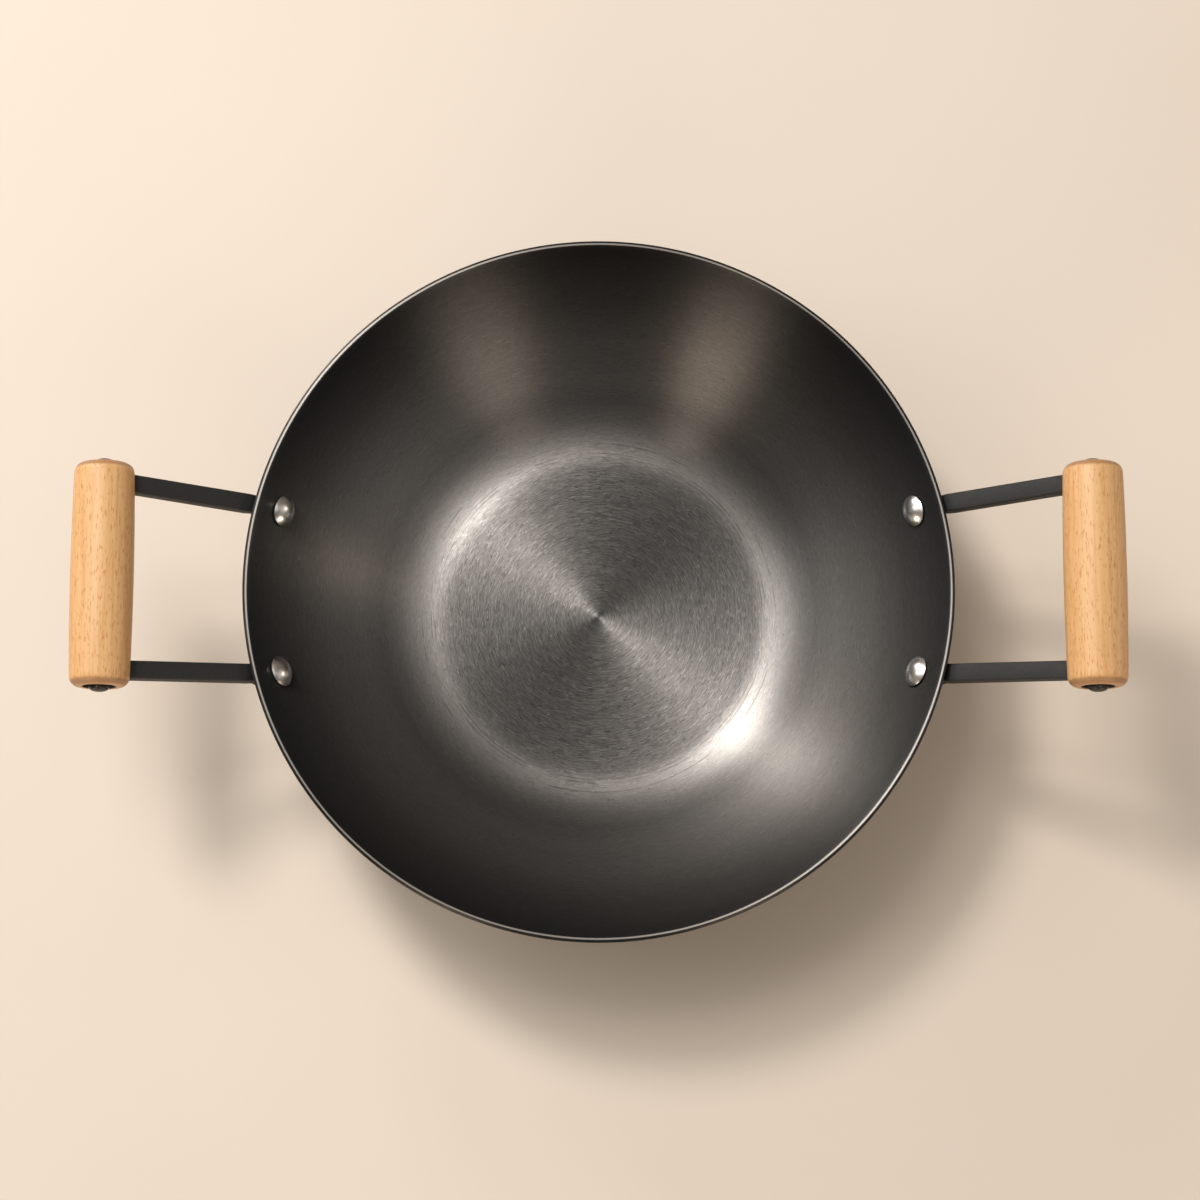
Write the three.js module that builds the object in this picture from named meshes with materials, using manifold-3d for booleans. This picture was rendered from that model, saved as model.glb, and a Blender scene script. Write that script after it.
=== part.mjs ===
// A flat-based iron wok with two side handles.
// Each handle is a beech grip on a tie rod, held by two forged arms that are riveted under the rim.
// Millimetres, +Z up, origin at the centre of the base's underside, handles along X.
import * as THREE from "three";
import { mergeVertices } from "three/addons/utils/BufferGeometryUtils.js";
import Module from "manifold-3d";

const wasm = await Module();
wasm.setup();

// Bowl
const RIM_DIAMETER = 320;
const BOWL_HEIGHT = 88;
const WALL = 3;
const BASE_DIAMETER = 148;
const BASE_FILLET = 32;
const RIM_SLOPE = THREE.MathUtils.degToRad(62);

// Rivets
const RIVET_DROP = 16;
const RIVET_INSET = 12.5;
const RIVET_SHANK = 6;
const RIVET_HEAD = 14;
const RIVET_DOME = 4.2;
const RIVET_EDGE = 0.9;
const RIVET_UNDERCUT = 0.7;
const RIVET_TAIL = 11;
const RIVET_TAIL_DOME = 2.4;

// Arms
const BAR = 8;
const BAR_EDGE = 0.8;
const FOOT_WIDTH = 16;
const FOOT_NECK = 11.6;
const FOOT_THICKNESS = 4;
const FOOT_MARGIN = 1.5;
const BEND_RUN = 4;
const TAPER_SHARE = 0.42;
const ARM_PAST_ROD = 6;

// Grips
const GRIP_LENGTH = 100;
const GRIP_DIAMETER = 27.9;
const GRIP_BARREL = 1.3;
const GRIP_ROUNDING = 4.5;
const GRIP_LAND = 0.8;
const GRIP_REACH = 59;
const GRIP_RISE = 26;
const ARM_INSET = 7.5;

// Tie rods, washers and cap nuts
const ROD_DIAMETER = 5;
const WASHER_DIAMETER = 12.6;
const WASHER_THICKNESS = 0.8;
const RECESS_GAP = 1;
const NUT_FLATS = 9;
const NUT_HEX_HEIGHT = 2.2;
const NUT_DOME = 1.5;
const NUT_CROWN = 1;

// Gap left between pieces that fit together, and how far a hole's cutter runs past what it cuts
const FIT = 0.3;
const OVERRUN = 5;

// Facets around each kind of piece, and along its curves
const BOWL_SEGMENTS = 80;
const GRIP_SEGMENTS = 36;
const SMALL_SEGMENTS = 20;
const FILLET_STEPS = 5;
const WALL_STEPS = 5;
const RIM_STEPS = 4;
const DOME_STEPS = 4;
const ROUND_STEPS = 3;
const BARREL_STEPS = 4;
const BEND_STEPS = 6;
const HALVINGS = 50;
const MERGE = 1e-4;

const ALONG_GRIP = new THREE.Vector3(0, 1, 0);
const QUARTER = Math.PI / 2;

const iron = () => new THREE.MeshStandardMaterial({ color: 0x47423f, roughness: 0.4, metalness: 0.9 });
const coat = () => new THREE.MeshStandardMaterial({ color: 0x1b1b1c, roughness: 0.6, metalness: 0.1 });
const beech = () => new THREE.MeshStandardMaterial({ color: 0xd29a63, roughness: 0.5, metalness: 0 });
const stainless = () => new THREE.MeshStandardMaterial({ color: 0xc4c0ba, roughness: 0.3, metalness: 1 });
const blackSteel = () => new THREE.MeshStandardMaterial({ color: 0x211f1e, roughness: 0.45, metalness: 0.8 });

// A geometry as a closed solid, with the flat triangles at a lathe's axis left out.
function solidOf(geometry) {
  const bare = geometry.clone();
  bare.deleteAttribute("normal");
  bare.deleteAttribute("uv");
  const merged = mergeVertices(bare, MERGE);
  const index = merged.index.array;
  const triangles = [];
  for (let i = 0; i < index.length; i += 3) {
    const [a, b, c] = index.slice(i, i + 3);
    if (a !== b && b !== c && c !== a) triangles.push(a, b, c);
  }
  return new wasm.Manifold(new wasm.Mesh({
    numProp: 3,
    vertProperties: new Float32Array(merged.attributes.position.array),
    triVerts: new Uint32Array(triangles),
  }));
}

// A solid as a geometry with flat facets.
function geometryOf(solid) {
  const mesh = solid.getMesh();
  const geometry = new THREE.BufferGeometry();
  geometry.setAttribute("position", new THREE.BufferAttribute(mesh.vertProperties, 3));
  geometry.setIndex(new THREE.BufferAttribute(mesh.triVerts, 1));
  const flat = geometry.toNonIndexed();
  flat.computeVertexNormals();
  return flat;
}

// A solid turned from an outline of radius and height, about the Y axis.
function turned(points, segments) {
  return solidOf(new THREE.LatheGeometry(points, segments));
}

// A round cutter of the given radius and length, centred on a point and lying along a direction.
function cutter(centre, direction, radius, length) {
  const turn = new THREE.Quaternion().setFromUnitVectors(ALONG_GRIP, direction);
  const geometry = new THREE.CylinderGeometry(radius, radius, length, SMALL_SEGMENTS);
  geometry.applyQuaternion(turn);
  geometry.translate(centre.x, centre.y, centre.z);
  return solidOf(geometry);
}

// The turn that takes X, Y and Z to three directions that are square to each other.
function turnTo(across, along, normal) {
  return new THREE.Quaternion().setFromRotationMatrix(new THREE.Matrix4().makeBasis(across, along, normal));
}

// Middle line of the bowl's wall, as radius and height.
// The base turns through a fillet into one long arc that reaches the rim at the rim's slope.
const RIM_CENTRE = new THREE.Vector2((RIM_DIAMETER - WALL) / 2, BOWL_HEIGHT - WALL / 2);
const FILLET_CENTRE = new THREE.Vector2(BASE_DIAMETER / 2, WALL + BASE_FILLET);
const FILLET_MIDDLE = BASE_FILLET + WALL / 2;

function filletPoint(slope) {
  return new THREE.Vector2(
    FILLET_CENTRE.x + FILLET_MIDDLE * Math.sin(slope),
    FILLET_CENTRE.y - FILLET_MIDDLE * Math.cos(slope),
  );
}

// The value between two limits where a test turns from true to false.
function turningPoint(low, high, test) {
  for (let i = 0; i < HALVINGS; i += 1) {
    const middle = (low + high) / 2;
    if (test(middle)) low = middle;
    else high = middle;
  }
  return low;
}

// The slope where the fillet ends: an arc's chord lies halfway between the slopes at its two ends.
const WALL_START_SLOPE = turningPoint(0, QUARTER, (slope) => {
  const chord = RIM_CENTRE.clone().sub(filletPoint(slope));
  const middle = (slope + RIM_SLOPE) / 2;
  return chord.y * Math.cos(middle) > chord.x * Math.sin(middle);
});
const WALL_START = filletPoint(WALL_START_SLOPE);
const WALL_CHORD = RIM_CENTRE.distanceTo(WALL_START);
const WALL_TURN = RIM_SLOPE - WALL_START_SLOPE;

// The wall's middle line at a share of its arc, with the slope there.
function wallAt(share) {
  const half = (WALL_TURN * share) / 2;
  const straight = Math.abs(WALL_TURN) < MERGE;
  const run = WALL_CHORD * (straight ? share : Math.sin(half) / Math.sin(WALL_TURN / 2));
  const heading = WALL_START_SLOPE + half;
  const ahead = new THREE.Vector2(Math.cos(heading), Math.sin(heading));
  return { point: WALL_START.clone().addScaledVector(ahead, run), slope: WALL_START_SLOPE + 2 * half };
}

// A point moved square off the middle line, outwards when the distance is positive.
function offWall({ point, slope }, distance) {
  return new THREE.Vector2(point.x + distance * Math.sin(slope), point.y - distance * Math.cos(slope));
}

function bowlOutline() {
  const line = [];
  for (let i = 0; i < FILLET_STEPS; i += 1) {
    const slope = (WALL_START_SLOPE * i) / FILLET_STEPS;
    line.push({ point: filletPoint(slope), slope });
  }
  for (let i = 0; i <= WALL_STEPS; i += 1) line.push(wallAt(i / WALL_STEPS));
  const outside = line.map((place) => offWall(place, WALL / 2));
  const inside = line.map((place) => offWall(place, -WALL / 2));
  const rim = [];
  for (let i = 1; i < RIM_STEPS; i += 1) {
    const angle = RIM_SLOPE - QUARTER + (Math.PI * i) / RIM_STEPS;
    const out = new THREE.Vector2(Math.cos(angle), Math.sin(angle));
    rim.push(RIM_CENTRE.clone().addScaledVector(out, WALL / 2));
  }
  return [new THREE.Vector2(0, 0), ...outside, ...rim, ...inside.reverse(), new THREE.Vector2(0, WALL)];
}

// Each rivet lies inside its end of the grip, so a longer grip has its rivets farther apart.
const RIVET_SPACING = GRIP_LENGTH - 2 * RIVET_INSET;

// Where the rivet of the arm at +X and +Y goes through the wall, and the directions of the arm's foot there.
// The foot climbs the wall straight out along X, so that the two arms of a handle leave the rim side by side.
function rivetSeat() {
  const height = BOWL_HEIGHT - RIVET_DROP;
  const { point, slope } = wallAt(turningPoint(0, 1, (share) => wallAt(share).point.y < height));
  const turn = Math.asin(RIVET_SPACING / 2 / point.x);
  const outward = new THREE.Vector3(Math.cos(turn), Math.sin(turn), 0);
  const normal = outward.clone().multiplyScalar(Math.sin(slope)).setZ(-Math.cos(slope));
  const climb = new THREE.Vector3(-normal.z, 0, normal.x).normalize();
  return {
    centre: outward.clone().multiplyScalar(point.x).setZ(point.y),
    normal,
    climb,
    across: climb.clone().cross(normal),
    curveRadius: point.x / Math.sin(slope),
  };
}

const SEAT = rivetSeat();

// Distances along the rivet from the middle of the wall.
// The wall is hollow towards the head's flat underside, and its facets cut inside the true curve,
// so the head stands off by the sag of both.
const HEAD_FLAT = RIVET_HEAD - 2 * RIVET_UNDERCUT;
const HEAD_SAG = HEAD_FLAT ** 2 / (8 * SEAT.curveRadius);
const ROUND_SAG = (RIM_DIAMETER / 2) * (1 - Math.cos(Math.PI / BOWL_SEGMENTS));
const CLIMB_SAG = (WALL_CHORD * Math.abs(WALL_TURN)) / (8 * WALL_STEPS ** 2);
const HEAD_SEAT = -(WALL / 2 + HEAD_SAG + ROUND_SAG + CLIMB_SAG + FIT);
const FOOT_INNER = WALL / 2 + FIT;
const FOOT_MIDDLE = FOOT_INNER + FOOT_THICKNESS / 2;
const TAIL_SEAT = FOOT_INNER + FOOT_THICKNESS + FIT;

// The arm at +X and +Y: its foot on the wall, the corner of its bend, and its eye on the tie rod.
const ARM_Y = GRIP_LENGTH / 2 - ARM_INSET;
const EYE = new THREE.Vector3(RIM_DIAMETER / 2 + GRIP_REACH, ARM_Y, BOWL_HEIGHT + GRIP_RISE);
const FOOT = SEAT.centre.clone().addScaledVector(SEAT.normal, FOOT_MIDDLE);
const BEND_START = RIVET_TAIL / 2 + FOOT_MARGIN;
const CORNER = SEAT.centre.clone()
  .addScaledVector(SEAT.normal, FOOT_INNER + BAR / 2)
  .addScaledVector(SEAT.climb, BEND_START + BEND_RUN);
const RUN = EYE.clone().sub(CORNER).normalize();
const RUN_ACROSS = new THREE.Vector3(-RUN.y, RUN.x, 0).normalize();
const RUN_NORMAL = RUN_ACROSS.clone().cross(RUN);
const SPLAY = Math.abs(Math.asin(RUN.y));

// A bar through a row of stations, each a rectangle with cut corners.
function loft(stations) {
  const points = [];
  for (const { centre, turn, width, depth } of stations) {
    const [w, d] = [width / 2, depth / 2];
    const edge = Math.min(BAR_EDGE, w / 2, d / 2);
    const ring = [
      [w, edge - d], [w, d - edge], [w - edge, d], [edge - w, d],
      [-w, d - edge], [-w, edge - d], [edge - w, -d], [w - edge, -d],
    ];
    for (const [x, z] of ring) points.push(new THREE.Vector3(x, 0, z).applyQuaternion(turn).add(centre));
  }
  const sides = points.length / stations.length;
  const last = points.length - sides;
  const index = [];
  for (let start = 0; start < last; start += sides) {
    for (let i = 0; i < sides; i += 1) {
      const [a, b] = [start + i, start + ((i + 1) % sides)];
      index.push(a, a + sides, b + sides, a, b + sides, b);
    }
  }
  for (let i = 1; i < sides - 1; i += 1) index.push(0, i, i + 1, last, last + i + 1, last + i);
  const geometry = new THREE.BufferGeometry().setFromPoints(points);
  geometry.setIndex(index);
  return geometry;
}

// One arm: a round-ended foot flat on the wall, a bend under the rim, and a square bar to the tie rod.
function armGeometry() {
  const flat = turnTo(SEAT.across, SEAT.climb, SEAT.normal);
  const straight = turnTo(RUN_ACROSS, RUN, RUN_NORMAL);
  const stations = [];
  for (let i = 1; i <= DOME_STEPS; i += 1) {
    const angle = (QUARTER * i) / DOME_STEPS;
    const below = FOOT_MARGIN + (FOOT_WIDTH / 2) * Math.cos(angle);
    stations.push({
      centre: FOOT.clone().addScaledVector(SEAT.climb, -below),
      turn: flat,
      width: FOOT_WIDTH * Math.sin(angle),
      depth: FOOT_THICKNESS,
    });
  }
  const bend = new THREE.QuadraticBezierCurve3(
    FOOT.clone().addScaledVector(SEAT.climb, BEND_START),
    CORNER,
    CORNER.clone().addScaledVector(RUN, BEND_RUN),
  );
  for (let i = 0; i <= BEND_STEPS; i += 1) {
    const share = i / BEND_STEPS;
    const narrowing = THREE.MathUtils.smoothstep(share, 0, TAPER_SHARE);
    const thickening = THREE.MathUtils.smoothstep(share, 0, 1);
    stations.push({
      centre: bend.getPoint(share),
      turn: flat.clone().slerp(straight, share),
      width: THREE.MathUtils.lerp(FOOT_NECK, BAR, narrowing),
      depth: THREE.MathUtils.lerp(FOOT_THICKNESS, BAR, thickening),
    });
  }
  const end = EYE.clone().addScaledVector(RUN, ARM_PAST_ROD);
  stations.push({ centre: end, turn: straight, width: BAR, depth: BAR });
  const rivetHole = cutter(FOOT, SEAT.normal, RIVET_SHANK / 2 + FIT, FOOT_THICKNESS + OVERRUN);
  const rodHole = cutter(EYE, ALONG_GRIP, ROD_DIAMETER / 2 + FIT, BAR + OVERRUN);
  return geometryOf(solidOf(loft(stations)).subtract(rivetHole).subtract(rodHole));
}

// A rivet about its own axis: a cap of a ball inside the bowl with its edge drawn in where it meets the wall,
// the shank, and a smaller formed tail outside.
function rivetGeometry() {
  const head = [];
  const tail = [];
  const rise = RIVET_DOME - RIVET_EDGE;
  const ball = (RIVET_HEAD ** 2 / 4 + rise ** 2) / (2 * rise);
  const ballCentre = HEAD_SEAT - RIVET_DOME + ball;
  const cap = Math.asin(RIVET_HEAD / 2 / ball);
  for (let i = 0; i <= DOME_STEPS; i += 1) {
    const angle = (cap * i) / DOME_STEPS;
    head.push(new THREE.Vector2(ball * Math.sin(angle), ballCentre - ball * Math.cos(angle)));
    const turn = (QUARTER * i) / DOME_STEPS;
    const height = TAIL_SEAT + RIVET_TAIL_DOME * Math.sin(turn);
    tail.push(new THREE.Vector2((RIVET_TAIL / 2) * Math.cos(turn), height));
  }
  head.push(new THREE.Vector2(HEAD_FLAT / 2, HEAD_SEAT));
  const shank = [HEAD_SEAT, TAIL_SEAT].map((height) => new THREE.Vector2(RIVET_SHANK / 2, height));
  return geometryOf(turned([...head, ...shank, ...tail], SMALL_SEGMENTS));
}

// The bowl with its four rivet holes.
function bowlGeometry() {
  const shell = new THREE.LatheGeometry(bowlOutline(), BOWL_SEGMENTS).rotateX(QUARTER);
  let solid = solidOf(shell);
  for (const x of [-1, 1]) {
    for (const y of [-1, 1]) {
      const mirror = new THREE.Vector3(x, y, 1);
      const centre = SEAT.centre.clone().multiply(mirror);
      const normal = SEAT.normal.clone().multiply(mirror);
      solid = solid.subtract(cutter(centre, normal, RIVET_SHANK / 2 + FIT, WALL + OVERRUN));
    }
  }
  return geometryOf(solid);
}

// Distances along a grip from its middle: the recess floor, and the washer, nut and rod end over it.
// The arm is splayed a little, so the floor clears the arm's outer side all the way under the washer.
const ARM_SIDE = ARM_Y + BAR / 2 / Math.cos(SPLAY) + (WASHER_DIAMETER / 2) * Math.tan(SPLAY);
const RECESS_FLOOR = ARM_SIDE + FIT;
const WASHER_START = RECESS_FLOOR + FIT;
const NUT_START = WASHER_START + WASHER_THICKNESS + FIT;
const NUT_HOLE = NUT_HEX_HEIGHT + NUT_DOME - NUT_CROWN;
const ROD_END = NUT_START + NUT_HOLE - FIT;

// Half of a grip's outline, from the bore out over the recess and the rounded end to the middle.
function gripHalfOutline() {
  const recess = WASHER_DIAMETER / 2 + RECESS_GAP;
  const radius = (GRIP_DIAMETER - GRIP_BARREL) / 2;
  const rounding = Math.min(GRIP_ROUNDING, radius - recess - GRIP_LAND);
  const shoulder = GRIP_LENGTH / 2 - rounding;
  const points = [
    new THREE.Vector2(ROD_DIAMETER / 2 + FIT, RECESS_FLOOR),
    new THREE.Vector2(recess, RECESS_FLOOR),
    new THREE.Vector2(recess, GRIP_LENGTH / 2),
  ];
  for (let i = 0; i < ROUND_STEPS; i += 1) {
    const angle = (QUARTER * i) / ROUND_STEPS;
    const inset = rounding * (1 - Math.sin(angle));
    points.push(new THREE.Vector2(radius - inset, shoulder + rounding * Math.cos(angle)));
  }
  for (let i = 0; i <= BARREL_STEPS / 2; i += 1) {
    const along = 1 - (2 * i) / BARREL_STEPS;
    const swell = (GRIP_BARREL / 2) * (1 - along ** 2);
    points.push(new THREE.Vector2(radius + swell, along * shoulder));
  }
  return points;
}

// A grip: a slightly barrelled cylinder with a bore, two end recesses and a slot for each arm.
function gripGeometry() {
  const upper = gripHalfOutline();
  const lower = upper.slice(0, -1).map(({ x, y }) => new THREE.Vector2(x, -y));
  let solid = turned([...lower, ...upper.reverse(), lower[0]], GRIP_SEGMENTS);
  const reach = ARM_PAST_ROD + FIT;
  const length = reach + GRIP_DIAMETER;
  for (const end of [-1, 1]) {
    const mirror = new THREE.Vector3(1, end, 1);
    const along = RUN.clone().multiply(mirror);
    const normal = RUN_NORMAL.clone().multiply(mirror);
    const slot = new THREE.BoxGeometry(BAR + 2 * FIT, length, BAR + 2 * FIT);
    slot.translate(0, reach - length / 2, 0);
    slot.applyQuaternion(turnTo(along.clone().cross(normal), along, normal));
    slot.translate(0, end * ARM_Y, 0);
    solid = solid.subtract(solidOf(slot));
  }
  return geometryOf(solid);
}

function rodGeometry() {
  return new THREE.CylinderGeometry(ROD_DIAMETER / 2, ROD_DIAMETER / 2, 2 * ROD_END, SMALL_SEGMENTS);
}

// A flat washer across the grip's axis, its inner face at zero.
function washerGeometry() {
  const bore = ROD_DIAMETER / 2 + FIT;
  const edge = WASHER_DIAMETER / 2;
  const corners = [[bore, 0], [edge, 0], [edge, WASHER_THICKNESS], [bore, WASHER_THICKNESS], [bore, 0]];
  return geometryOf(turned(corners.map(([x, y]) => new THREE.Vector2(x, y)), SMALL_SEGMENTS));
}

// A low cap nut: six flats, a domed crown, and a blind hole for the rod's end, its inner face at zero.
function nutGeometry() {
  const corner = NUT_FLATS / Math.sqrt(3);
  const hex = new THREE.CylinderGeometry(corner, corner, NUT_HEX_HEIGHT, 6);
  hex.translate(0, NUT_HEX_HEIGHT / 2, 0);
  const radius = NUT_FLATS / 2 - FIT;
  const points = [0, radius].map((x) => new THREE.Vector2(x, NUT_HEX_HEIGHT / 2));
  for (let i = 0; i <= DOME_STEPS; i += 1) {
    const angle = (QUARTER * i) / DOME_STEPS;
    points.push(new THREE.Vector2(radius * Math.cos(angle), NUT_HEX_HEIGHT + NUT_DOME * Math.sin(angle)));
  }
  const hole = cutter(new THREE.Vector3(), ALONG_GRIP, ROD_DIAMETER / 2 + FIT, 2 * NUT_HOLE);
  return geometryOf(solidOf(hex).add(turned(points, SMALL_SEGMENTS)).subtract(hole));
}

function piece(name, geometry, material, place = new THREE.Vector3()) {
  const mesh = new THREE.Mesh(geometry, material);
  mesh.name = name;
  mesh.position.copy(place);
  return mesh;
}

// One end of a handle, made at +X and +Y: an arm with its rivet, washer and nut.
function handleEnd(name) {
  const rivet = piece(`${name}_rivet`, rivetGeometry(), stainless(), SEAT.centre);
  rivet.quaternion.setFromUnitVectors(ALONG_GRIP, SEAT.normal);
  const group = new THREE.Group();
  group.add(
    piece(`${name}_arm`, armGeometry(), coat()),
    rivet,
    piece(`${name}_washer`, washerGeometry(), blackSteel(), EYE.clone().setY(WASHER_START)),
    piece(`${name}_cap_nut`, nutGeometry(), blackSteel(), EYE.clone().setY(NUT_START)),
  );
  return group;
}

// A whole handle at +X. The left one is the same handle turned half a turn, so its ends swap names.
function handle(side) {
  const turnedRound = side === "left";
  const middle = EYE.clone().setY(0);
  const far = handleEnd(`${side}_${turnedRound ? "front" : "rear"}`);
  const near = handleEnd(`${side}_${turnedRound ? "rear" : "front"}`);
  near.scale.y = -1;
  const group = new THREE.Group();
  group.add(
    piece(`${side}_grip`, gripGeometry(), beech(), middle),
    piece(`${side}_tie_rod`, rodGeometry(), blackSteel(), middle),
    far,
    near,
  );
  group.rotation.z = turnedRound ? Math.PI : 0;
  return group;
}

const wok = new THREE.Group();
wok.name = "wok";
wok.add(piece("bowl", bowlGeometry(), iron()), handle("left"), handle("right"));

export default wok;
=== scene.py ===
# %% [markdown]
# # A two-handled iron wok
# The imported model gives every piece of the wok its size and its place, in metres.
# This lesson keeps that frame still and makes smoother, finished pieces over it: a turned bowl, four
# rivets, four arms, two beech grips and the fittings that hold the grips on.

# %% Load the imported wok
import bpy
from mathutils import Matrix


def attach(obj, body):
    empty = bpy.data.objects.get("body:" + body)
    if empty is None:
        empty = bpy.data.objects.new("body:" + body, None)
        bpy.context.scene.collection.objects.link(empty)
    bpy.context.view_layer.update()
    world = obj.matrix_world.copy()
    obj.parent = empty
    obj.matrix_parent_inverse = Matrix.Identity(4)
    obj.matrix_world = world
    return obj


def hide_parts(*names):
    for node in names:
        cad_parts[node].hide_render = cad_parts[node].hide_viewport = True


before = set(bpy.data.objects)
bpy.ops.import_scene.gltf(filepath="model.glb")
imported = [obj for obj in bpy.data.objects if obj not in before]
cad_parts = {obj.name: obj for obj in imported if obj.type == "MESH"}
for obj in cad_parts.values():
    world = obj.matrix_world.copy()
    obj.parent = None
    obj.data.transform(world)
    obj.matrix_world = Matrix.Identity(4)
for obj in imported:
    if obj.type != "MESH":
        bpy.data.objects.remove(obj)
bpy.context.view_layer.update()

# %% [markdown]
# ## Tools
# bmesh holds a mesh while operators shape it, and mathutils has the vectors and matrices.
# Sizes are written in millimetres, as a workshop drawing gives them, and `mm` turns them into metres.

# %% Tools and units
import math

import bmesh
import bpy
from mathutils import Matrix, Vector

mm = 0.001
scene = bpy.context.scene
print("Blender", bpy.app.version_string)

# %% [markdown]
# ## The view
# The wok is seen from high above with a long lens, so its rim is almost a true circle and the two handles
# look the same size. The camera leans 10 degrees towards the front.
# A small slide in the camera's own plane sets where the wok stands in the picture.

# %% Place the camera
RIM_HEIGHT = 88 * mm
CAMERA_TILT = math.radians(10)
CAMERA_DISTANCE = 1.5
CAMERA_LENS = 100.32
SENSOR_WIDTH = 36
SLIDE_RIGHT = 0.6 * mm
SLIDE_UP = -6.7 * mm

camera = bpy.data.objects.new("portrait_camera", bpy.data.cameras.new("portrait_camera"))
camera.data.sensor_width = SENSOR_WIDTH
camera.data.lens = CAMERA_LENS
lean = Matrix.Rotation(CAMERA_TILT, 4, "X")
camera.matrix_world = (
    Matrix.Translation((0, 0, RIM_HEIGHT))
    @ lean
    @ Matrix.Translation((SLIDE_RIGHT, SLIDE_UP, CAMERA_DISTANCE))
)
scene.collection.objects.link(camera)
scene.camera = camera
print("camera at", [round(v, 3) for v in camera.matrix_world.translation])

# %% [markdown]
# ## Floor
# The wok stands on a plain cream floor. The floor lies a hair below the base, so that the two faces never
# share a plane. Its finish follows once the helpers for finishes are there.

# %% Lay the floor
FLOOR_SIZE = 8
FLOOR_DROP = 0.2 * mm

floor_bm = bmesh.new()
bmesh.ops.create_grid(floor_bm, x_segments=1, y_segments=1, size=FLOOR_SIZE / 2)
bmesh.ops.translate(floor_bm, vec=(0, 0, -FLOOR_DROP), verts=floor_bm.verts[:])
floor_mesh = bpy.data.meshes.new("pale_floor")
floor_bm.to_mesh(floor_mesh)
floor_bm.free()
floor = bpy.data.objects.new("pale_floor", floor_mesh)
scene.collection.objects.link(floor)
print("floor", FLOOR_SIZE, "m square")

# %% [markdown]
# ## Light
# The key light hangs high at the rear left and is small enough to throw a readable shadow to the front
# right. Panels near it spread its highlights, as a lit sky glows round the sun: a wide glow above it, a
# weak one higher still, and one low at the rear that draws a streak up the near right wall.
# Three warm panels stand low, two at the front and one at the right. They only reach the wall across from
# them, where each shows as a soft lobe.
# Three wide, weak panels, one overhead and one at each side, give the flat base and the polished rivets
# something bright to mirror. The rest is the warm light of a pale room.

# %% Hang the panels
LIGHT_AIM = Vector((0, 0, 50 * mm))
LIGHT_DISTANCE = 3.0
SUN = (1.0, 0.95, 0.885)
SKY = (1.0, 0.985, 0.965)
WARM = (1.0, 0.84, 0.68)

# Each panel has an azimuth and an elevation in degrees, a width in metres, a power in watts and a colour.
PANELS = {
    "key_panel": (128, 54, 0.65, 38, SUN),
    "glow_panel": (127, 64, 1.2, 29, SUN),
    "high_panel": (135, 77, 0.9, 4, SUN),
    "rear_low_panel": (132, 22, 0.55, 24, SUN),
    "low_left_panel": (240, 13.5, 0.9, 24, WARM),
    "low_right_panel": (298, 12, 1.0, 21, WARM),
    "far_right_panel": (2, 19, 0.5, 6, WARM),
    "overhead_panel": (0, 88, 2.4, 7, SKY),
    "left_panel": (168, 45, 1.6, 14, SKY),
    "right_panel": (356, 38, 2.4, 4.5, SKY),
}


def hang_panel(name, azimuth, elevation, width, power, colour):
    """A round soft panel, placed by compass direction from the wok and turned to face it."""
    a = math.radians(azimuth)
    e = math.radians(elevation)
    away = Vector((math.cos(a) * math.cos(e), math.sin(a) * math.cos(e), math.sin(e)))
    data = bpy.data.lights.new(name, "AREA")
    data.shape = "DISK"
    data.size = width
    data.energy = power
    data.color = colour
    panel = bpy.data.objects.new(name, data)
    facing = away.to_track_quat("Z", "Y").to_matrix().to_4x4()
    panel.matrix_world = Matrix.Translation(LIGHT_AIM + away * LIGHT_DISTANCE) @ facing
    scene.collection.objects.link(panel)


for name, settings in PANELS.items():
    hang_panel(name, *settings)
print("lights:", list(PANELS))

# %% Fill the room
ROOM = (1.0, 0.82, 0.65)
ROOM_STRENGTH = 0.12

room = bpy.data.worlds.new("soft_room")
room.use_nodes = True
room_light = room.node_tree.nodes["Background"]
room_light.inputs["Color"].default_value = (*ROOM, 1)
room_light.inputs["Strength"].default_value = ROOM_STRENGTH
scene.world = room
scene.view_settings.view_transform = "Standard"
print("room light at", ROOM_STRENGTH)

# %% [markdown]
# ## Wiring a finish
# Every finish here is a small network of nodes that ends in one Principled shader. It reads each point's
# place in the piece's own frame, so a pattern stays on its piece.
# A few helpers keep the wiring short. `add` makes a node and joins its inputs, where an input is either a
# plain value or another node's output. The others are short names for the nodes used most.

# %% Helpers for finishes
RISING = (0.0, 1.0)
FALLING = (1.0, 0.0)
NOISE_REACH = (0.3, 0.7)


def start_finish(name):
    """A new material with a Principled shader, and the place of each point on its piece."""
    finish = bpy.data.materials.new(name)
    finish.use_nodes = True
    tree = finish.node_tree
    tree.nodes.clear()
    out = tree.nodes.new("ShaderNodeOutputMaterial")
    shader = tree.nodes.new("ShaderNodeBsdfPrincipled")
    tree.links.new(shader.outputs["BSDF"], out.inputs["Surface"])
    place = tree.nodes.new("ShaderNodeTexCoord").outputs["Object"]
    return finish, tree, shader, place


def join(tree, node, inputs):
    """Sets a node's inputs by name or number, from values or from other nodes' outputs."""
    for socket, value in inputs.items():
        if isinstance(value, bpy.types.NodeSocket):
            tree.links.new(value, node.inputs[socket])
        else:
            node.inputs[socket].default_value = value


def add(tree, kind, inputs, output=0, **settings):
    """Adds one shader node and hands back one of its outputs."""
    node = tree.nodes.new("ShaderNode" + kind)
    for setting, value in settings.items():
        setattr(node, setting, value)
    join(tree, node, inputs)
    return node.outputs[output]


def calc(tree, operation, *values):
    """One Math node."""
    return add(tree, "Math", dict(enumerate(values)), operation=operation)


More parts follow.
